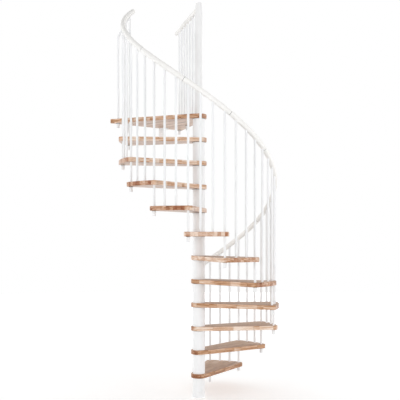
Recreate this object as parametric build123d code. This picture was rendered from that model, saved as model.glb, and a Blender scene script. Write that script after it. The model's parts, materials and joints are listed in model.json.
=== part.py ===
from build123d import *
import os
from math import asin, ceil, cos, degrees, hypot, radians, sin, sqrt

# A spiral staircase: wedge treads of glued beech clamped on a steel column, thin steel
# balusters on a circle and a round handrail that climbs clockwise seen from above.
# Millimetres, +Z up. The origin is the centre of the floor plate's underside, and the
# landing's straight outer edge faces +Y.

# Driving dimensions of the flight
tread_count = 11
riser = 210.0
tread_pitch_angle = 25.42
balusters_per_tread = 3
tread_radius = 712.0
baluster_edge_distance = 37.0
landing_nosing_angle = 124.0

# Treads and landing
tread_thickness = 38.0
hub_radius = 70.0
tread_edge_margin = 35.0
tread_corner_radius = 35.0
tread_edge_radius = 4.0
landing_rail_angle = 68.0
landing_corner_radius = 14.0

# Column
pole_radius = 30.0
pole_wall = 4.0
sleeve_radius = 54.4
sleeve_wall = 4.0
floor_plate_thickness = 10.0
anchor_circle_radius = 41.0
anchor_hole_radius = 5.5
anchor_count = 4
foot_cover_radius = 57.0
foot_cover_height = 49.0
foot_cover_chamfer = 1.5

# Newel post on the landing, its rise measured from the landing rail's centre
newel_rise = 39.0
newel_cap_height = 7.0
newel_cap_chamfer = 2.5

# Balusters
baluster_radius = 10.0
stub_length = 43.0
stub_cap_radius = 14.0
stub_cap_floor_thickness = 6.0
stub_cap_edge_radius = 3.0
entry_foot_radius = 11.5
entry_foot_height = 8.0
entry_foot_chamfer = 1.5

# Handrail, its height measured from a tread's top at the nosing to the rail's centre
rail_radius = 22.0
rail_height = 995.0
rail_joint_width = 5.0
rail_joint_radius = 20.5
rail_start_angle = 5.0
rail_joint_angles = (13.0, 46.0, 82.0, 116.5, 148.5, 180.7, 214.4, 251.0)
rail_end_angle = 285.0
rail_end_drop = 34.0
rail_cap_length = 7.0
rail_cap_chamfer = 3.0
saddle_cut_length = 66.0

# Bent baluster at the landing's outer corner
corner_baluster_offset = 120.0
corner_bend_height = 765.0
corner_bend_radius = 60.0
corner_meeting_angle = 3.4

# Railing along the landing's rear side
landing_rail_height = 950.0
landing_baluster_count = 7
landing_baluster_first = 116.0
landing_rail_extension_length = 82.0
landing_rail_overhang_length = 107.0
long_baluster_interval = 3

# Brackets that tie the landing to the upper floor's edge
bracket_width = 60.0
bracket_thickness = 6.0
bracket_drop = 80.0
bracket_seat = 90.0
bracket_bend_radius = 6.0
bracket_corner_radius = 12.0
bracket_hole_radius = 5.5
bracket_hole_drop = 48.0
bracket_shares = (0.215, 0.707)

# Clearances: sliding fit of rods in holes, and a rail lying on a saddle
hole_clearance = 0.3
saddle_clearance = 0.2
cut_overrun = 5.0

baluster_circle_radius = tread_radius - baluster_edge_distance
landing_edge_distance = tread_radius
landing_side_reach = landing_edge_distance / sin(radians(landing_rail_angle))
landing_rail_reach = landing_side_reach + landing_rail_extension_length
landing_baluster_last = landing_rail_reach - landing_rail_overhang_length
newel_height = landing_rail_height + newel_rise
pole_hole_radius = pole_radius + hole_clearance
baluster_hole_radius = baluster_radius + hole_clearance
stub_depth = stub_length - stub_cap_floor_thickness
level_count = tread_count + 1
landing_top = level_count * riser
first_nosing_angle = landing_nosing_angle + tread_count * tread_pitch_angle
baluster_step_angle = tread_pitch_angle / balusters_per_tread
rail_climb = riser / tread_pitch_angle
last_joint_angle = rail_joint_angles[-1]
rail_end_slack = rail_end_drop / (rail_end_angle - last_joint_angle)


def polar(radius, angle, height=0):
    return Vector(radius * cos(radians(angle)), radius * sin(radians(angle)), height)


def level_top(level):
    return level * riser


def level_underside(level):
    return level_top(level) - tread_thickness


def nosing_angle(level):
    return first_nosing_angle - (level - 1) * tread_pitch_angle


# Height of the rail's centre at an angle climbed from the first nosing. Past the last
# joint the rail flattens a little, so that its end drops below the even climb.
def rail_centre_height(climbed):
    past_joint = max(0, climbed - last_joint_angle)
    return riser + rail_height + rail_climb * climbed - rail_end_slack * past_joint


def rail_point(climbed):
    return polar(baluster_circle_radius, first_nosing_angle - climbed, rail_centre_height(climbed))


def rail_direction(climbed):
    rise = rail_climb - rail_end_slack if climbed > last_joint_angle else rail_climb
    run = baluster_circle_radius * radians(1)
    return polar(run, first_nosing_angle - climbed - 90, rise).normalized()


def rod(foot, length, radius):
    return Location(foot) * extrude(Circle(radius), length)


# The wedge's sides touch the hub circle and pass a margin outside the last balusters.
def side_tilt(baluster_distance):
    return degrees(asin((hub_radius - tread_edge_margin) / baluster_distance))


def tread_outline():
    tilt = side_tilt(baluster_circle_radius)
    front = -tilt
    rear = tilt - tread_pitch_angle
    reach = sqrt(tread_radius**2 - hub_radius**2)
    front_root = polar(hub_radius, front + 90)
    rear_root = polar(hub_radius, rear - 90)
    front_corner = front_root + polar(reach, front)
    rear_corner = rear_root + polar(reach, rear)
    outer_start = degrees(-asin(-rear_corner.Y / tread_radius))
    outer_end = degrees(asin(front_corner.Y / tread_radius))
    edges = [
        Line(front_root, front_corner),
        CenterArc((0, 0), tread_radius, outer_start, outer_end - outer_start),
        Line(rear_corner, rear_root),
        CenterArc((0, 0), hub_radius, front + 90, 180 - front + rear),
    ]
    face = make_face(edges)
    corners = face.vertices().sort_by(lambda vertex: vertex.center().length)[-2:]
    return fillet(corners, tread_corner_radius)


def landing_outline():
    front = landing_nosing_angle - side_tilt(baluster_circle_radius)
    rear = landing_rail_angle + side_tilt(landing_baluster_last)
    front_root = polar(hub_radius, front + 90)
    rear_root = polar(hub_radius, rear - 90)
    front_reach = (landing_edge_distance - front_root.Y) / sin(radians(front))
    rear_reach = (landing_edge_distance - rear_root.Y) / sin(radians(rear))
    front_corner = front_root + polar(front_reach, front)
    rear_corner = rear_root + polar(rear_reach, rear)
    edges = [
        Line(front_root, front_corner),
        Line(front_corner, rear_corner),
        Line(rear_corner, rear_root),
        CenterArc((0, 0), hub_radius, front + 90, 180 - front + rear),
    ]
    face = make_face(edges)
    corners = face.vertices().sort_by(lambda vertex: vertex.center().length)[-2:]
    return fillet(corners, landing_corner_radius), front_corner.X, rear_corner.X


# A board with eased edges and clear holes right through it for the pole and rods.
def bored_board(outline, top, rod_places):
    board = Location((0, 0, top - tread_thickness)) * extrude(outline, tread_thickness)
    flats = board.faces().filter_by(Axis.Z)
    board = fillet(flats.edges(), tread_edge_radius)
    under = top - tread_thickness - cut_overrun
    depth = tread_thickness + 2 * cut_overrun
    board -= rod((0, 0, under), depth, pole_hole_radius)
    for place in rod_places:
        board -= rod((place.X, place.Y, under), depth, baluster_hole_radius)
    return board


def tread(level):
    front = nosing_angle(level)
    outline = Location((0, 0, 0), (0, 0, front)) * tread_outline()
    rod_places = [
        polar(baluster_circle_radius, front),
        polar(baluster_circle_radius, front - tread_pitch_angle),
    ]
    return bored_board(outline, level_top(level), rod_places)


# The corner baluster stands outboard of the landing's nosing baluster, along the edge.
def corner_baluster_place():
    front = landing_nosing_angle - side_tilt(baluster_circle_radius)
    nosing_place = polar(baluster_circle_radius, landing_nosing_angle)
    return nosing_place + polar(corner_baluster_offset, front)


# The landing railing's balusters, from the newel outwards, and those that go through the board.
def landing_baluster_places():
    step = (landing_baluster_last - landing_baluster_first) / (landing_baluster_count - 1)
    distances = [landing_baluster_first + index * step for index in range(landing_baluster_count)]
    return [polar(distance, landing_rail_angle) for distance in distances]


def long_landing_baluster(index):
    return index > 0 and index % long_baluster_interval == 0


def landing_rod_places():
    places = [polar(baluster_circle_radius, landing_nosing_angle), corner_baluster_place()]
    for index, place in enumerate(landing_baluster_places()):
        if long_landing_baluster(index):
            places.append(place)
    return places


def landing():
    outline, front_x, rear_x = landing_outline()
    return bored_board(outline, landing_top, landing_rod_places())


def bracket_places():
    outline, front_x, rear_x = landing_outline()
    return [front_x + share * (rear_x - front_x) for share in bracket_shares]


# A bracket is a flat strip, bent down at the landing's outer edge, with rounded ends.
def landing_brackets():
    strip = make_face(
        Polyline(
            (0, 0),
            (0, -bracket_drop),
            (-bracket_thickness, -bracket_drop),
            (-bracket_thickness, -bracket_thickness),
            (-bracket_seat, -bracket_thickness),
            (-bracket_seat, 0),
            close=True,
        )
    )
    by_distance = strip.vertices().sort_by(lambda vertex: vertex.center().length)
    outer_bend, inner_bend = by_distance[:2]
    strip = fillet(outer_bend, bracket_bend_radius + bracket_thickness)
    inner_bend = strip.vertices().sort_by_distance(inner_bend.center())[0]
    strip = fillet(inner_bend, bracket_bend_radius)
    bracket = extrude(Plane.YZ * strip, bracket_width / 2, both=True)
    seat_corners = bracket.edges().filter_by(Axis.Z).group_by(Axis.Y)[0]
    bracket = fillet(seat_corners, bracket_corner_radius)
    drop_corners = bracket.edges().filter_by(Axis.Y).group_by(Axis.Z)[0]
    bracket = fillet(drop_corners, bracket_corner_radius)
    bolt_length = bracket_thickness + 2 * cut_overrun
    bolt_place = Plane(origin=(0, cut_overrun, -bracket_hole_drop), z_dir=(0, -1, 0))
    bracket -= bolt_place * extrude(Circle(bracket_hole_radius), bolt_length)
    under = level_underside(level_count)
    return [Location((place, landing_edge_distance, under)) * bracket for place in bracket_places()]


def floor_plate():
    plate = rod((0, 0, 0), floor_plate_thickness, sleeve_radius)
    for index in range(anchor_count):
        place = polar(anchor_circle_radius, index * 360 / anchor_count, -cut_overrun)
        plate -= rod(place, floor_plate_thickness + 2 * cut_overrun, anchor_hole_radius)
    return plate


def tube(bottom, top, radius, wall):
    length = top - bottom
    return rod((0, 0, bottom), length, radius) - rod((0, 0, bottom), length, radius - wall)


def foot_cover():
    wall = foot_cover_radius - sleeve_radius - hole_clearance
    cover = tube(0, foot_cover_height, foot_cover_radius, wall)
    rim = cover.edges().filter_by(GeomType.CIRCLE).group_by(Axis.Z)[-1].sort_by(SortBy.RADIUS)[-1]
    return chamfer(rim, foot_cover_chamfer)


def column_sleeves():
    sleeves = []
    for level in range(1, level_count + 1):
        bottom = floor_plate_thickness if level == 1 else level_top(level - 1)
        top = level_underside(level)
        sleeves.append(tube(bottom, top, sleeve_radius, sleeve_wall))
    return sleeves


def capped_disc(radius, height, edge):
    disc = extrude(Circle(radius), height)
    return chamfer(disc.edges().group_by(Axis.Z)[-1], edge)


# A space the size of the rail, lying along it, cuts the saddle in a baluster's top.
def rail_space(climbed):
    space = Cylinder(rail_radius + saddle_clearance, saddle_cut_length)
    return Plane(origin=rail_point(climbed), z_dir=rail_direction(climbed)) * space


def straight_baluster(level, step):
    climbed = (level - 1) * tread_pitch_angle + step * baluster_step_angle
    top = rail_centre_height(climbed)
    if step > 0:
        bottom = level_top(level)
    elif level == 1:
        bottom = entry_foot_height
    else:
        bottom = level_underside(level - 1) - stub_depth
    foot = polar(baluster_circle_radius, first_nosing_angle - climbed, bottom)
    return rod(foot, top - bottom, baluster_radius) - rail_space(climbed)


def corner_baluster():
    climbed = tread_count * tread_pitch_angle + corner_meeting_angle
    foot = corner_baluster_place() + Vector(0, 0, level_underside(level_count) - stub_depth)
    bend = corner_baluster_place() + Vector(0, 0, landing_top + corner_bend_height)
    path = FilletPolyline(foot, bend, rail_point(climbed), radius=corner_bend_radius)
    shaft = sweep(Plane(origin=foot, z_dir=(0, 0, 1)) * Circle(baluster_radius), path=path)
    return shaft - rail_space(climbed)


# A rounded cap closes each rod that passes through a board, and seats on the board's underside.
def stub_cap(place, underside):
    cap = rod((place.X, place.Y, underside - stub_length), stub_length, stub_cap_radius)
    cap = fillet(cap.edges().group_by(Axis.Z)[0], stub_cap_edge_radius)
    return cap - rod((place.X, place.Y, underside - stub_depth), stub_depth, baluster_hole_radius)


def stub_caps():
    caps = []
    for level in range(2, level_count + 1):
        place = polar(baluster_circle_radius, nosing_angle(level))
        caps.append(stub_cap(place, level_underside(level - 1)))
    outer_places = landing_rod_places()[1:]
    return caps + [stub_cap(place, level_underside(level_count)) for place in outer_places]


# One length of rail between two climbed angles, as a left-handed helix.
def rail_section(start, end):
    rise = rail_centre_height(end) - rail_centre_height(start)
    helix = Helix(
        pitch=rise * 360 / (end - start),
        height=rise,
        radius=baluster_circle_radius,
        lefthand=True,
    )
    place = Location((0, 0, rail_centre_height(start)), (0, 0, first_nosing_angle - start))
    path = place * helix
    section = Plane(origin=path @ 0, z_dir=path % 0) * Circle(rail_radius)
    return sweep(section, path=path, is_frenet=True)


# Half a joint ring's width, as an angle climbed along the sloping rail.
def half_joint_angle():
    slope_length = hypot(baluster_circle_radius * radians(1), rail_climb)
    return rail_joint_width / 2 / slope_length


def rail_sections():
    half = half_joint_angle()
    starts = [-rail_start_angle] + [angle + half for angle in rail_joint_angles]
    ends = [angle - half for angle in rail_joint_angles] + [rail_end_angle]
    return [rail_section(start, end) for start, end in zip(starts, ends)]


# A flat ring fills each joint. It gives up the little that the rail's ends lean over it.
def rail_joints():
    rings = []
    half = half_joint_angle()
    for climbed in rail_joint_angles:
        low = rail_point(climbed - half)
        high = rail_point(climbed + half)
        chord = high - low
        lean = max(chord.get_angle(rail_direction(climbed + side)) for side in (-half, half))
        width = chord.length - 2 * rail_joint_radius * sin(radians(lean))
        place = Plane(origin=(low + high) / 2, z_dir=chord)
        rings.append(place * Cylinder(rail_joint_radius, width))
    return rings


def rail_caps():
    cap = Location((0, 0, saddle_clearance)) * capped_disc(rail_radius, rail_cap_length, rail_cap_chamfer)
    low_way = rail_direction(-rail_start_angle) * -1
    high_way = rail_direction(rail_end_angle)
    landing_way = polar(1, landing_rail_angle)
    landing_end = polar(landing_rail_reach, landing_rail_angle, landing_top + landing_rail_height)
    return [
        Plane(origin=rail_point(-rail_start_angle), z_dir=low_way) * cap,
        Plane(origin=rail_point(rail_end_angle), z_dir=high_way) * cap,
        Plane(origin=landing_end, z_dir=landing_way) * cap,
    ]


def landing_rail_space(radius, start, reach):
    origin = polar(start, landing_rail_angle, landing_top + landing_rail_height)
    return Plane(origin=origin, z_dir=polar(1, landing_rail_angle)) * extrude(Circle(radius), reach - start)


def landing_rail():
    rail = landing_rail_space(rail_radius, 0, landing_rail_reach)
    return rail - rod((0, 0, landing_top), newel_height, pole_radius + saddle_clearance)


def landing_balusters():
    saddle = landing_rail_space(rail_radius + saddle_clearance, 0, landing_rail_reach)
    rods = []
    for index, place in enumerate(landing_baluster_places()):
        bottom = level_underside(level_count) - stub_depth if long_landing_baluster(index) else landing_top
        length = landing_top + landing_rail_height - bottom
        rods.append(rod((place.X, place.Y, bottom), length, baluster_radius) - saddle)
    return rods


def save(name, pieces):
    shape = Compound(children=pieces) if isinstance(pieces, list) else pieces
    export_step(shape, f"parts/{name}.step")


os.makedirs("parts", exist_ok=True)

save("floor_plate", floor_plate())
save("foot_cover", foot_cover())
save("centre_pole", tube(floor_plate_thickness, landing_top, pole_radius, pole_wall))
save("column_sleeves", column_sleeves())

for level in range(1, level_count):
    save(f"tread_{level:02d}", tread(level))
    steps = range(balusters_per_tread)
    save(f"balusters_{level:02d}", [straight_baluster(level, step) for step in steps])

save("landing", landing())
save("landing_brackets", landing_brackets())
save("landing_nosing_balusters", [straight_baluster(level_count, 0), corner_baluster()])
save("landing_rail", landing_rail())
save("landing_rail_balusters", landing_balusters())

save("stub_caps", stub_caps())

entry_foot = capped_disc(entry_foot_radius, entry_foot_height, entry_foot_chamfer)
save("entry_foot", Location(polar(baluster_circle_radius, first_nosing_angle)) * entry_foot)

flights = ("lower", "middle", "upper")
sections = rail_sections()
per_flight = ceil(len(sections) / len(flights))
for index, flight in enumerate(flights):
    first = index * per_flight
    save(f"handrail_{flight}", sections[first : first + per_flight])
save("handrail_joints", rail_joints())
save("rail_caps", rail_caps())

newel_top = landing_top + newel_height
save("newel_post", tube(landing_top, newel_top, pole_radius, pole_wall))
newel_cap = capped_disc(pole_radius, newel_cap_height, newel_cap_chamfer)
save("newel_cap", Location((0, 0, newel_top)) * newel_cap)
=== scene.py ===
import bpy
import json
import math
from functools import partial
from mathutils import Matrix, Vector


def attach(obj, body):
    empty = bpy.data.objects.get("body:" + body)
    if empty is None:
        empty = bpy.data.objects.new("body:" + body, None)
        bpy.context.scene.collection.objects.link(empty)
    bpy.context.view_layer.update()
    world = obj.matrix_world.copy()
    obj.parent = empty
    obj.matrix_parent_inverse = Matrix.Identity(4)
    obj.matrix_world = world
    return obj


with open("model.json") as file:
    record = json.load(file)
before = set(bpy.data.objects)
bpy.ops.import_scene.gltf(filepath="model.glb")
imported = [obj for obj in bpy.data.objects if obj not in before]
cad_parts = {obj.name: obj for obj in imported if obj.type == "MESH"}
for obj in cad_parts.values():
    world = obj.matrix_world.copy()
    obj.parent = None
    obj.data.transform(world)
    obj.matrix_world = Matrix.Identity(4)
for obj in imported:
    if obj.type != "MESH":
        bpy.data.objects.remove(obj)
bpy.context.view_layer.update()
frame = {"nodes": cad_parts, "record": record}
nodes = frame["nodes"]
mm = 0.001
white = (1, 1, 1, 1)
print("frame loaded:", len(nodes), "nodes")


# sRGB hex to the linear colour that the shaders want
def hexColour(code):
    shares = [int(code[i : i + 2], 16) / 255 for i in (1, 3, 5)]
    linear = [s / 12.92 if s <= 0.04045 else ((s + 0.055) / 1.055) ** 2.4 for s in shares]
    return (*linear, 1)


# one node: settings are its own properties, values and links go to its inputs by name or number.
# On a mix, input 0 is the share, 2 and 3 are the two numbers, and 6 and 7 the two colours
def addNode(tree, kind, values={}, links={}, **settings):
    node = tree.nodes.new(kind)
    for name, value in settings.items():
        setattr(node, name, value)
    for key, value in values.items():
        node.inputs[key].default_value = value
    for key, socket in links.items():
        tree.links.new(socket, node.inputs[key])
    return node


def newMaterial(name):
    material = bpy.data.materials.new(name)
    material.use_nodes = True
    material.node_tree.nodes.clear()
    return material, material.node_tree


def finishShader(tree, shader):
    addNode(tree, "ShaderNodeOutputMaterial", links={"Surface": shader.outputs[0]})


def wear(nodeName, material):
    for place in nodes[nodeName].material_slots:
        place.material = material


chanceMean = 0.5  # white noise runs from 0 to 1
noiseSpan = {"From Min": 0.3, "From Max": 0.7}  # soft noise lies mostly between these

# Glued beech board, planed and lacquered: pinkish tan staves in butted blocks that differ in tone,
# soft bands of growth rings, short flecks and darker end grain. The lacquer is satin on the edges
# and the underside, where it mirrors the pale floor at low angles, and duller on top, so that feet grip
beech = {
    "staveWidth": 31,  # mm
    "blockLength": 330,  # mm
    "blocksInLength": (0.75, 1.35),  # fewest and most, so blocks are 244 to 440 mm long
    "blockStarts": 37.0,  # blocks, over which the staves' starting places are spread
    "firstPattern": 49,  # the first tread's chance pattern of staves, each board takes the next one
    "patternStep": 3.37,  # staves from one pattern to the next
    "tones": {0.0: "#90613A", 0.25: "#B48660", 0.5: "#CAA386", 0.75: "#DBC1AB", 1.0: "#E8D6C7"},
    # how pale each board's edge staves are, from the first tread up to the landing
    "edgeTones": [0.2, 0.4, 0.7, 0.45, 0.4, 0.6, 0.9, 0.45, 0.45, 0.6, 0.7, 0.4],
    "edgeSpread": 0.32,  # of tone, from block to block
    "flatTone": 0.38,
    "flatSpread": 0.5,
    "edgeToFlat": {"From Min": 0.5, "From Max": 0.9},  # the normal's z, from an edge to a flat face
    "grainLength": 150,  # mm
    "grainWidth": 3.5,  # mm
    "grainNoise": {"Scale": 1, "Detail": 3, "Roughness": 0.6},
    "grainJump": 900,  # mm, over which the blocks' grain is spread
    "grainTone": 0.13,  # paler and darker by this
    "grainGloss": 0.07,  # rougher and smoother by this
    "grainStrength": 0.12,
    "grainDepth": 0.2,  # mm
    "bandLength": 260,  # mm
    "bandWidth": 40,  # mm across the stave
    "bandDepth": 14,  # mm down through the board, real rings are 2 to 5 mm and would not show
    "bandNoise": {"Scale": 1, "Detail": 2},
    "edgeBands": 0.38,  # paler and darker by this
    "flatBands": 0.2,
    "fleckLength": 14,  # mm, real flecks are 2 to 4 mm and would not show
    "fleckWidth": 2.2,  # mm, real ones are 0.5 mm
    "fleckNoise": {"Scale": 1, "Detail": 1},
    "fleckSpan": {"From Min": 0.6, "From Max": 0.72},  # of the noise, so flecks are few
    "fleckShade": 0.8,
    "glueLine": 0.5,  # mm
    "glueShade": 0.72,
    "endGrain": "#B98A66",
    "endSpan": {"From Min": 0.55, "From Max": 0.9},  # the normal along the staves, up to full end grain
    "endShare": 0.55,
    "endSoak": (0.3, 1.7),  # least and most of that share, from stave to stave
    # painted reflection: a pale sheen laid over the top faces, for the pale surroundings mirrored there
    "topPaintedSheen": "#C4B4A6",
    "topPaintedSheenShare": 0.4,
    "topRoughness": 0.56,
    "sideRoughness": 0.3,
    "ior": 1.5,
}


def beechBoard(name, grainAngle, edgeTone, pattern):
    material, tree = newMaterial(name)
    add = partial(addNode, tree)
    coord = add("ShaderNodeTexCoord")
    # board coordinates in millimetres: x along the staves, y across them
    board = add(
        "ShaderNodeMapping",
        {"Rotation": (0, 0, -grainAngle), "Scale": (1 / mm,) * 3},
        {"Vector": coord.outputs["Object"]},
    )
    axes = add("ShaderNodeSeparateXYZ", links={0: board.outputs[0]})
    across = add("ShaderNodeMath", {1: beech["staveWidth"]}, {0: axes.outputs["Y"]}, operation="DIVIDE")
    patternStart = pattern * beech["patternStep"]
    across = add("ShaderNodeMath", {1: patternStart}, {0: across.outputs[0]}, operation="ADD")
    stave = add("ShaderNodeMath", links={0: across.outputs[0]}, operation="FLOOR")
    # each stave has blocks of its own length, starting at its own place
    staveChance = add("ShaderNodeTexWhiteNoise", links={"W": stave.outputs[0]}, noise_dimensions="1D")
    fewest, most = beech["blocksInLength"]
    blockScale = add(
        "ShaderNodeMapRange",
        {"To Min": fewest / beech["blockLength"], "To Max": most / beech["blockLength"]},
        {"Value": staveChance.outputs["Value"]},
    )
    along = add(
        "ShaderNodeMath",
        links={0: axes.outputs["X"], 1: blockScale.outputs[0]},
        operation="MULTIPLY",
    )
    blockStart = add(
        "ShaderNodeMath",
        {1: beech["blockStarts"]},
        {0: staveChance.outputs["Value"]},
        operation="MULTIPLY",
    )
    along = add("ShaderNodeMath", links={0: along.outputs[0], 1: blockStart.outputs[0]}, operation="ADD")
    block = add("ShaderNodeMath", links={0: along.outputs[0]}, operation="FLOOR")
    blockId = add("ShaderNodeCombineXYZ", {2: pattern}, {0: stave.outputs[0], 1: block.outputs[0]})
    blockChance = add("ShaderNodeTexWhiteNoise", links={"Vector": blockId.outputs[0]}, noise_dimensions="3D")
    # the flat faces show all staves and share one tone, the edges show the board's outer staves
    facing = add(
        "ShaderNodeVectorRotate",
        {"Angle": -grainAngle},
        {"Vector": coord.outputs["Normal"]},
        rotation_type="Z_AXIS",
    )
    facingAxes = add("ShaderNodeSeparateXYZ", links={0: facing.outputs[0]})
    facingFlat = add("ShaderNodeMath", links={0: facingAxes.outputs["Z"]}, operation="ABSOLUTE")
    meanTone = add(
        "ShaderNodeMapRange",
        {**beech["edgeToFlat"], "To Min": edgeTone, "To Max": beech["flatTone"]},
        {"Value": facingFlat.outputs[0]},
    )
    toneSpread = add(
        "ShaderNodeMapRange",
        {**beech["edgeToFlat"], "To Min": beech["edgeSpread"], "To Max": beech["flatSpread"]},
        {"Value": facingFlat.outputs[0]},
    )
    offMean = add("ShaderNodeMath", {1: chanceMean}, {0: blockChance.outputs["Value"]}, operation="SUBTRACT")
    blockTone = add(
        "ShaderNodeMath",
        links={0: offMean.outputs[0], 1: toneSpread.outputs[0]},
        operation="MULTIPLY",
    )
    # grain runs along the stave and starts anew in each block
    shift = add(
        "ShaderNodeVectorMath",
        {1: (beech["grainJump"],) * 3},
        {0: blockChance.outputs["Color"]},
        operation="MULTIPLY",
    )
    blockPlace = add(
        "ShaderNodeVectorMath",
        links={0: board.outputs[0], 1: shift.outputs[0]},
        operation="ADD",
    )
    grainScale = (1 / beech["grainLength"], 1 / beech["grainWidth"], 1 / beech["grainWidth"])
    grainPlace = add(
        "ShaderNodeVectorMath",
        {1: grainScale},
        {0: blockPlace.outputs[0]},
        operation="MULTIPLY",
    )
    grain = add("ShaderNodeTexNoise", beech["grainNoise"], {"Vector": grainPlace.outputs[0]})
    grainTone = add(
        "ShaderNodeMapRange",
        {**noiseSpan, "To Min": -beech["grainTone"], "To Max": beech["grainTone"]},
        {"Value": grain.outputs["Fac"]},
    )
    # growth rings lie nearly flat in the board, so its edges show them as long soft bands
    bandScale = (1 / beech["bandLength"], 1 / beech["bandWidth"], 1 / beech["bandDepth"])
    bandPlace = add(
        "ShaderNodeVectorMath",
        {1: bandScale},
        {0: blockPlace.outputs[0]},
        operation="MULTIPLY",
    )
    band = add("ShaderNodeTexNoise", beech["bandNoise"], {"Vector": bandPlace.outputs[0]})
    offBand = add(
        "ShaderNodeMapRange",
        {**noiseSpan, "To Min": -1, "To Max": 1},
        {"Value": band.outputs["Fac"]},
    )
    bandSpread = add(
        "ShaderNodeMapRange",
        {**beech["edgeToFlat"], "To Min": beech["edgeBands"], "To Max": beech["flatBands"]},
        {"Value": facingFlat.outputs[0]},
    )
    bandTone = add(
        "ShaderNodeMath",
        links={0: offBand.outputs[0], 1: bandSpread.outputs[0]},
        operation="MULTIPLY",
    )
    staveTone = add(
        "ShaderNodeMath",
        links={0: meanTone.outputs[0], 1: blockTone.outputs[0]},
        operation="ADD",
    )
    ringTone = add(
        "ShaderNodeMath",
        links={0: staveTone.outputs[0], 1: bandTone.outputs[0]},
        operation="ADD",
    )
    toneSum = add("ShaderNodeMath", links={0: ringTone.outputs[0], 1: grainTone.outputs[0]}, operation="ADD")
    ramp = add("ShaderNodeValToRGB", links={"Fac": toneSum.outputs[0]})
    for place in list(beech["tones"])[1:-1]:
        ramp.color_ramp.elements.new(place)
    for element, code in zip(ramp.color_ramp.elements, beech["tones"].values()):
        element.color = hexColour(code)
    # flecks: short dark dashes along the grain
    fleckScale = (1 / beech["fleckLength"], 1 / beech["fleckWidth"], 1 / beech["fleckWidth"])
    fleckPlace = add(
        "ShaderNodeVectorMath",
        {1: fleckScale},
        {0: blockPlace.outputs[0]},
        operation="MULTIPLY",
    )
    fleck = add("ShaderNodeTexNoise", beech["fleckNoise"], {"Vector": fleckPlace.outputs[0]})
    fleckShade = add(
        "ShaderNodeMapRange",
        {**beech["fleckSpan"], "To Min": 1, "To Max": beech["fleckShade"]},
        {"Value": fleck.outputs["Fac"]},
    )
    # glue lines between staves
    halfStave = 0.5  # stave widths
    fromJoint = add("ShaderNodeMath", {1: halfStave}, {0: across.outputs[0]}, operation="PINGPONG")
    glueShade = add(
        "ShaderNodeMapRange",
        {"From Max": beech["glueLine"] / beech["staveWidth"], "To Min": beech["glueShade"]},
        {"Value": fromJoint.outputs[0]},
    )
    shade = add(
        "ShaderNodeMath",
        links={0: fleckShade.outputs[0], 1: glueShade.outputs[0]},
        operation="MULTIPLY",
    )
    # end grain is where the surface faces along the staves
    facingAlong = add("ShaderNodeMath", links={0: facingAxes.outputs["X"]}, operation="ABSOLUTE")
    endShare = add(
        "ShaderNodeMapRange",
        {**beech["endSpan"], "To Max": beech["endShare"]},
        {"Value": facingAlong.outputs[0]},
    )
    # end grain soaks up lacquer unevenly, so its staves differ more
    leastSoak, mostSoak = beech["endSoak"]
    staveSoak = add(
        "ShaderNodeMapRange",
        {"To Min": leastSoak, "To Max": mostSoak},
        {"Value": staveChance.outputs["Value"]},
    )
    endSoak = add(
        "ShaderNodeMath",
        links={0: endShare.outputs[0], 1: staveSoak.outputs[0]},
        operation="MULTIPLY",
    )
    ended = add(
        "ShaderNodeMix",
        {7: hexColour(beech["endGrain"])},
        {0: endSoak.outputs[0], 6: ramp.outputs["Color"]},
        data_type="RGBA",
        blend_type="MULTIPLY",
    )
    grained = add(
        "ShaderNodeVectorMath",
        links={0: ended.outputs[2], 1: shade.outputs[0]},
        operation="MULTIPLY",
    )
    # painted reflection: a pale sheen painted over the top faces only, standing in for the pale surroundings
    # that the lacquer mirrors at low angles
    paintedSheenShare = add(
        "ShaderNodeMapRange",
        {**beech["edgeToFlat"], "To Max": beech["topPaintedSheenShare"]},
        {"Value": facingAxes.outputs["Z"]},
    )
    colour = add(
        "ShaderNodeMix",
        {7: hexColour(beech["topPaintedSheen"])},
        {0: paintedSheenShare.outputs[0], 6: grained.outputs[0]},
        data_type="RGBA",
    )
    finishRoughness = add(
        "ShaderNodeMapRange",
        {**beech["edgeToFlat"], "To Min": beech["sideRoughness"], "To Max": beech["topRoughness"]},
        {"Value": facingAxes.outputs["Z"]},
    )
    grainRoughness = add(
        "ShaderNodeMapRange",
        {"To Min": -beech["grainGloss"], "To Max": beech["grainGloss"]},
        {"Value": grain.outputs["Fac"]},
    )
    roughness = add(
        "ShaderNodeMath",
        links={0: finishRoughness.outputs[0], 1: grainRoughness.outputs[0]},
        operation="ADD",
    )
    bump = add(
        "ShaderNodeBump",
        {"Strength": beech["grainStrength"], "Distance": beech["grainDepth"] * mm},
        {"Height": grain.outputs["Fac"]},
    )
    shader = add(
        "ShaderNodeBsdfPrincipled",
        {"IOR": beech["ior"]},
        {"Base Color": colour.outputs[2], "Roughness": roughness.outputs[0], "Normal": bump.outputs[0]},
    )
    finishShader(tree, shader)
    return material


# Powder-coated steel, sprayed and baked: an even white with a fine orange peel that softens highlights.
# The handrail's enamel is a little warmer
whiteCoat = {
    "column": {"colour": "#EDEEEF", "shade": "#EAEBEC", "roughness": 0.55},
    "newel": {"colour": "#E6E6E6", "shade": "#E3E3E3", "roughness": 0.6},
    "baluster": {"colour": "#E9EAEB", "shade": "#E6E7E8", "roughness": 0.75},
    "handrail": {"colour": "#EDECEA", "shade": "#EAE9E6", "roughness": 0.55},
    "ior": 1.5,
    "peel": 2.2,  # mm between the peel's waves, drawn coarse: real ones are under 1 mm
    "peelDetail": 1,
    "peelStrength": 0.15,
    "peelDepth": 0.05,  # mm
    "cloud": 90,  # mm, slow change of the coat's thickness
    "cloudDetail": 2,
    "cloudGloss": 0.06,  # rougher and smoother by this
}


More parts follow.
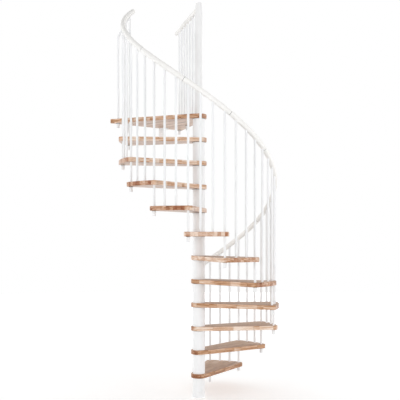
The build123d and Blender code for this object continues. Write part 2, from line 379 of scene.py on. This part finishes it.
def powderCoat(name, finish):
    material, tree = newMaterial(name)
    add = partial(addNode, tree)
    coord = add("ShaderNodeTexCoord")
    cloud = add(
        "ShaderNodeTexNoise",
        {"Scale": 1 / (whiteCoat["cloud"] * mm), "Detail": whiteCoat["cloudDetail"]},
        {"Vector": coord.outputs["Object"]},
    )
    peel = add(
        "ShaderNodeTexNoise",
        {"Scale": 1 / (whiteCoat["peel"] * mm), "Detail": whiteCoat["peelDetail"]},
        {"Vector": coord.outputs["Object"]},
    )
    ramp = add("ShaderNodeValToRGB", links={"Fac": cloud.outputs["Fac"]})
    ramp.color_ramp.elements[0].color = hexColour(finish["shade"])
    ramp.color_ramp.elements[0].position = noiseSpan["From Min"]
    ramp.color_ramp.elements[1].color = hexColour(finish["colour"])
    ramp.color_ramp.elements[1].position = noiseSpan["From Max"]
    smoothest = finish["roughness"] - whiteCoat["cloudGloss"]
    roughest = finish["roughness"] + whiteCoat["cloudGloss"]
    roughness = add(
        "ShaderNodeMapRange",
        {"To Min": smoothest, "To Max": roughest},
        {"Value": cloud.outputs["Fac"]},
    )
    bump = add(
        "ShaderNodeBump",
        {"Strength": whiteCoat["peelStrength"], "Distance": whiteCoat["peelDepth"] * mm},
        {"Height": peel.outputs["Fac"]},
    )
    shader = add(
        "ShaderNodeBsdfPrincipled",
        {"IOR": whiteCoat["ior"]},
        {"Base Color": ramp.outputs["Color"], "Roughness": roughness.outputs[0], "Normal": bump.outputs[0]},
    )
    finishShader(tree, shader)
    return material


# Moulded nylon: matt with a faint spark-eroded grain from the mould, grey in the rail's joint rings
# and nearly white in the foot under the first rod
nylon = {
    "ring": {"colour": "#A5A6A5", "shade": "#999A99"},
    "foot": {"colour": "#E4E4E3", "shade": "#DFDFDE"},
    "grain": 3,  # mm, drawn coarse: real mould grain is 0.2 mm
    "grainDetail": 2,
    "grainStrength": 0.2,
    "grainDepth": 0.05,  # mm
    "roughness": 0.55,
    "ior": 1.53,
}


def mouldedNylon(name, finish):
    material, tree = newMaterial(name)
    add = partial(addNode, tree)
    coord = add("ShaderNodeTexCoord")
    grain = add(
        "ShaderNodeTexNoise",
        {"Scale": 1 / (nylon["grain"] * mm), "Detail": nylon["grainDetail"]},
        {"Vector": coord.outputs["Object"]},
    )
    ramp = add("ShaderNodeValToRGB", links={"Fac": grain.outputs["Fac"]})
    ramp.color_ramp.elements[0].color = hexColour(finish["shade"])
    ramp.color_ramp.elements[1].color = hexColour(finish["colour"])
    bump = add(
        "ShaderNodeBump",
        {"Strength": nylon["grainStrength"], "Distance": nylon["grainDepth"] * mm},
        {"Height": grain.outputs["Fac"]},
    )
    shader = add(
        "ShaderNodeBsdfPrincipled",
        {"IOR": nylon["ior"], "Roughness": nylon["roughness"]},
        {"Base Color": ramp.outputs["Color"], "Normal": bump.outputs[0]},
    )
    finishShader(tree, shader)
    return material


# Boards: one beech material each, with the staves along the board's middle line
boardNames = sorted(name for name in nodes if name.startswith("tread_")) + ["landing"]
for index, name in enumerate(boardNames):
    reach = sum((Vector((v.co.x, v.co.y)) for v in nodes[name].data.vertices), Vector((0, 0)))
    angle = math.atan2(reach.y, reach.x)
    pattern = beech["firstPattern"] + index
    wear(name, beechBoard(f"lacqueredBeech_{name}", angle, beech["edgeTones"][index], pattern))
print("boards dressed:", len(boardNames))

columnCoat = powderCoat("powderCoatedSteelColumn", whiteCoat["column"])
balusterCoat = powderCoat("powderCoatedSteelBaluster", whiteCoat["baluster"])
newelCoat = powderCoat("powderCoatedSteelNewel", whiteCoat["newel"])
railCoat = powderCoat("enamelledHandrail", whiteCoat["handrail"])
finishes = {
    "column_coat": columnCoat,
    "baluster_coat": balusterCoat,
    "handrail": railCoat,
    "joint_ring": mouldedNylon("mouldedNylonGrey", nylon["ring"]),
    "foot": mouldedNylon("mouldedNylonWhite", nylon["foot"]),
}
for part in frame["record"]["subparts"]:
    if part["material_slot"] in finishes:
        wear(part["node"], finishes[part["material_slot"]])
for name in ("newel_post", "newel_cap"):
    wear(name, newelCoat)
print("steel and nylon dressed")

# Painted shade: dark rings of moulded black rubber, a dull dark grey that swallows light, with a faint
# grain, put where the boards shade the sleeve ends and the caps
paintedShadeFinish = {
    "colour": "#45423F",
    "shade": "#383633",
    "grain": 2.5,  # mm, drawn coarse: real grain is 0.2 mm
    "grainDetail": 2,
    "roughness": 0.7,
    "ior": 1.52,
}


def paintedShadeMaterial(name):
    material, tree = newMaterial(name)
    add = partial(addNode, tree)
    coord = add("ShaderNodeTexCoord")
    grain = add(
        "ShaderNodeTexNoise",
        {"Scale": 1 / (paintedShadeFinish["grain"] * mm), "Detail": paintedShadeFinish["grainDetail"]},
        {"Vector": coord.outputs["Object"]},
    )
    ramp = add("ShaderNodeValToRGB", links={"Fac": grain.outputs["Fac"]})
    ramp.color_ramp.elements[0].color = hexColour(paintedShadeFinish["shade"])
    ramp.color_ramp.elements[1].color = hexColour(paintedShadeFinish["colour"])
    shader = add(
        "ShaderNodeBsdfPrincipled",
        {"IOR": paintedShadeFinish["ior"], "Roughness": paintedShadeFinish["roughness"]},
        {"Base Color": ramp.outputs["Color"]},
    )
    finishShader(tree, shader)
    return material


weldDigits = 5  # vertices that agree to this many digits of a metre are one


# Boxes of a node's separate solids, as lowest and highest corners
def solidBoxes(nodeName):
    mesh = nodes[nodeName].data
    leader = list(range(len(mesh.vertices)))

    def lead(i):
        while leader[i] != i:
            leader[i] = leader[leader[i]]
            i = leader[i]
        return i

    spots = {}
    for vertex in mesh.vertices:
        spot = spots.setdefault(tuple(round(c, weldDigits) for c in vertex.co), vertex.index)
        leader[lead(vertex.index)] = lead(spot)
    for edge in mesh.edges:
        leader[lead(edge.vertices[0])] = lead(edge.vertices[1])
    boxes = {}
    for vertex in mesh.vertices:
        low, high = boxes.setdefault(lead(vertex.index), (vertex.co.copy(), vertex.co.copy()))
        for axis in range(3):
            low[axis] = min(low[axis], vertex.co[axis])
            high[axis] = max(high[axis], vertex.co[axis])
    return list(boxes.values())


sharpAngle = 40  # degrees, past which an edge stays sharp


# One piece made of rings: a closed profile of (radius, height) in mm, turned round each place
def turnedRings(name, profile, places, segments, material):
    vertices, faces = [], []
    count = len(profile)
    for place in places:
        base = len(vertices)
        for s in range(segments):
            turn = 2 * math.pi * s / segments
            for radius, height in profile:
                x, y = radius * math.cos(turn) * mm, radius * math.sin(turn) * mm
                vertices.append(place + Vector((x, y, height * mm)))
            for i in range(count):
                here, there = base + s * count, base + (s + 1) % segments * count
                j = (i + 1) % count
                faces.append((here + i, there + i, there + j, here + j))
    mesh = bpy.data.meshes.new(name)
    mesh.from_pydata(vertices, [], faces)
    mesh.polygons.foreach_set("use_smooth", [True] * len(faces))
    mesh.set_sharp_from_angle(angle=math.radians(sharpAngle))
    mesh.materials.append(material)
    piece = bpy.data.objects.new(name, mesh)
    bpy.context.scene.collection.objects.link(piece)
    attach(piece, "root")


# Dark rubber rings round the sleeves' upper ends and round the rods' caps, both right under the boards, as
# painted shade where the boards shade them, with radii and heights in mm
sleeveShadeRing = {"inner": 54.5, "outer": 57.0, "height": 2.8, "ease": 0.8, "segments": 64}
capShadeRing = {"inner": 14.1, "outer": 19.0, "height": 3.0, "ease": 0.9, "segments": 32}


# a ring's profile, with its outer edges eased
def eased(ring):
    inner, outer, height, ease = ring["inner"], ring["outer"], ring["height"], ring["ease"]
    lower = [(inner, 0), (outer - ease, 0), (outer, ease)]
    upper = [(outer, height - ease), (outer - ease, height), (inner, height)]
    return lower + upper


paintedShade = paintedShadeMaterial("paintedShadeBlackRubber")
# painted shade: a dark ring at each sleeve's upper end, under the board
sleeveEnds = []
for low, high in solidBoxes("column_sleeves"):
    sleeveEnds.append(Vector((0, 0, high.z - sleeveShadeRing["height"] * mm)))
turnedRings("sleeveShadeRings", eased(sleeveShadeRing), sleeveEnds, sleeveShadeRing["segments"], paintedShade)
# painted shade: a dark ring at each cap's top, under the board
capTops = []
for low, high in solidBoxes("stub_caps"):
    capTops.append(Vector(((low.x + high.x) / 2, (low.y + high.y) / 2, high.z - capShadeRing["height"] * mm)))
turnedRings("capShadeRings", eased(capShadeRing), capTops, capShadeRing["segments"], paintedShade)
print("shadeRingsAtSleeves:", len(sleeveEnds), "shadeRingsAtCaps:", len(capTops))

# Domed screws that hold the brackets' seats under the landing, coated with them
screw = {
    "profile": [(1.7, -3.2), (2.6, -3.2), (4.4, -2.6), (5.4, -1.4), (5.6, 0), (1.7, 0)],  # mm
    "seatThickness": 6,  # mm
    "fromEdge": (36, 70),  # mm
    "segments": 24,
}
screwPlaces = []
for low, high in solidBoxes("landing_brackets"):
    under = high.z - screw["seatThickness"] * mm
    for distance in screw["fromEdge"]:
        screwPlaces.append(Vector(((low.x + high.x) / 2, high.y - distance * mm, under)))
turnedRings("bracketScrews", screw["profile"], screwPlaces, screw["segments"], columnCoat)
print("screws:", len(screwPlaces))

# Floor and surroundings: white to the eye and in reflections, with the object's soft shadow kept.
# A ring of tall softboxes lights upright faces evenly from all round, under a soft light that
# grows from the walls to the ceiling
studio = {
    "floorRadius": 12,  # m
    "floorSides": 96,
    "floorColour": "#F2F2F2",
    "floorRoughness": 0.9,
    "floorGlow": 0.32,  # added where the floor is seen
    "wallLight": 0.42,
    "ceilingLight": 0.65,
    "backdropLight": 1.0,  # where the backdrop is seen
    "panelCount": 6,
    "panelPower": 640,  # W
    "firstPanel": -37,  # degrees round the column, on the camera's side
    "panelWidth": 8,  # m
    "panelHeight": 5,  # m
    "panelMiddle": 2.2,  # m above the floor
    "panelDistance": 15,  # m
}


# 1 for what the camera sees, also in a mirror or through glass, and 0 for light on the stair
def seenDirectly(tree):
    path = addNode(tree, "ShaderNodeLightPath")
    direct = addNode(
        tree,
        "ShaderNodeMath",
        links={0: path.outputs["Is Camera Ray"], 1: path.outputs["Is Glossy Ray"]},
        operation="MAXIMUM",
    )
    return addNode(
        tree,
        "ShaderNodeMath",
        links={0: direct.outputs[0], 1: path.outputs["Is Transmission Ray"]},
        operation="MAXIMUM",
    )


def studioFloor():
    mesh = bpy.data.meshes.new("studioFloor")
    radius, sides = studio["floorRadius"], studio["floorSides"]
    turns = [2 * math.pi * side / sides for side in range(sides)]
    rim = [(radius * math.cos(turn), radius * math.sin(turn), 0) for turn in turns]
    mesh.from_pydata(rim, [], [range(sides)])
    floor = bpy.data.objects.new("studioFloor", mesh)
    bpy.context.scene.collection.objects.link(floor)
    material, tree = newMaterial("paintedStudioFloor")
    seen = seenDirectly(tree)
    glow = addNode(
        tree,
        "ShaderNodeMath",
        {1: studio["floorGlow"]},
        {0: seen.outputs[0]},
        operation="MULTIPLY",
    )
    shader = addNode(
        tree,
        "ShaderNodeBsdfPrincipled",
        {
            "Base Color": hexColour(studio["floorColour"]),
            "Roughness": studio["floorRoughness"],
            "Specular IOR Level": 0,
            "Emission Color": white,
        },
        {"Emission Strength": glow.outputs[0]},
    )
    finishShader(tree, shader)
    mesh.materials.append(material)


def studioLight():
    world = bpy.data.worlds.new("whiteStudio")
    bpy.context.scene.world = world
    world.use_nodes = True
    tree = world.node_tree
    tree.nodes.clear()
    seen = seenDirectly(tree)
    coord = addNode(tree, "ShaderNodeTexCoord")
    axes = addNode(tree, "ShaderNodeSeparateXYZ", links={0: coord.outputs["Generated"]})
    room = addNode(
        tree,
        "ShaderNodeMapRange",
        {"To Min": studio["wallLight"], "To Max": studio["ceilingLight"]},
        {"Value": axes.outputs["Z"]},
    )
    strength = addNode(
        tree,
        "ShaderNodeMix",
        {3: studio["backdropLight"]},
        {0: seen.outputs[0], 2: room.outputs[0]},
        data_type="FLOAT",
    )
    background = addNode(tree, "ShaderNodeBackground", {"Color": white}, {"Strength": strength.outputs[0]})
    addNode(tree, "ShaderNodeOutputWorld", links={"Surface": background.outputs[0]})
    middle = Vector((0, 0, studio["panelMiddle"]))
    for index in range(studio["panelCount"]):
        lamp = bpy.data.lights.new("tallSoftbox", "AREA")
        lamp.energy = studio["panelPower"]
        lamp.shape = "RECTANGLE"
        lamp.size = studio["panelWidth"]
        lamp.size_y = studio["panelHeight"]
        softbox = bpy.data.objects.new("tallSoftbox", lamp)
        turn = math.radians(studio["firstPanel"] + 360 * index / studio["panelCount"])
        out = Vector((math.sin(turn), -math.cos(turn), 0)) * studio["panelDistance"]
        softbox.location = middle + out
        softbox.rotation_euler = (-out).to_track_quat("-Z", "Y").to_euler()
        softbox.visible_camera = False
        softbox.visible_glossy = False
        bpy.context.scene.collection.objects.link(softbox)


studioFloor()
studioLight()

# Camera: level, at the photograph's viewpoint, in a 400 by 400 frame
photo = {
    "frame": 400,  # px
    "focal": 737.4,  # px
    "horizon": 234.6,  # px from the top
    "axis": 198.85,  # px from the left, the column's axis
    "distance": 6.591,  # m from the column's axis
    "height": 1.447,  # m
    "azimuth": -37,  # degrees round the column
    "sensor": 36,  # mm
    "sight": 200,  # m, as far as the camera sees
}


def photoCamera():
    data = bpy.data.cameras.new("photoCamera")
    camera = bpy.data.objects.new("photoCamera", data)
    turn = math.radians(photo["azimuth"])
    distance = photo["distance"]
    camera.location = (distance * math.sin(turn), -distance * math.cos(turn), photo["height"])
    camera.rotation_euler = (math.pi / 2, 0, turn)
    data.sensor_width = photo["sensor"]
    data.lens = photo["sensor"] * photo["focal"] / photo["frame"]
    data.shift_x = 0.5 - photo["axis"] / photo["frame"]
    data.shift_y = photo["horizon"] / photo["frame"] - 0.5
    data.clip_end = photo["sight"]
    bpy.context.scene.collection.objects.link(camera)
    bpy.context.scene.camera = camera


photoCamera()
bpy.context.scene.view_settings.view_transform = "Standard"
print("studio and camera ready")
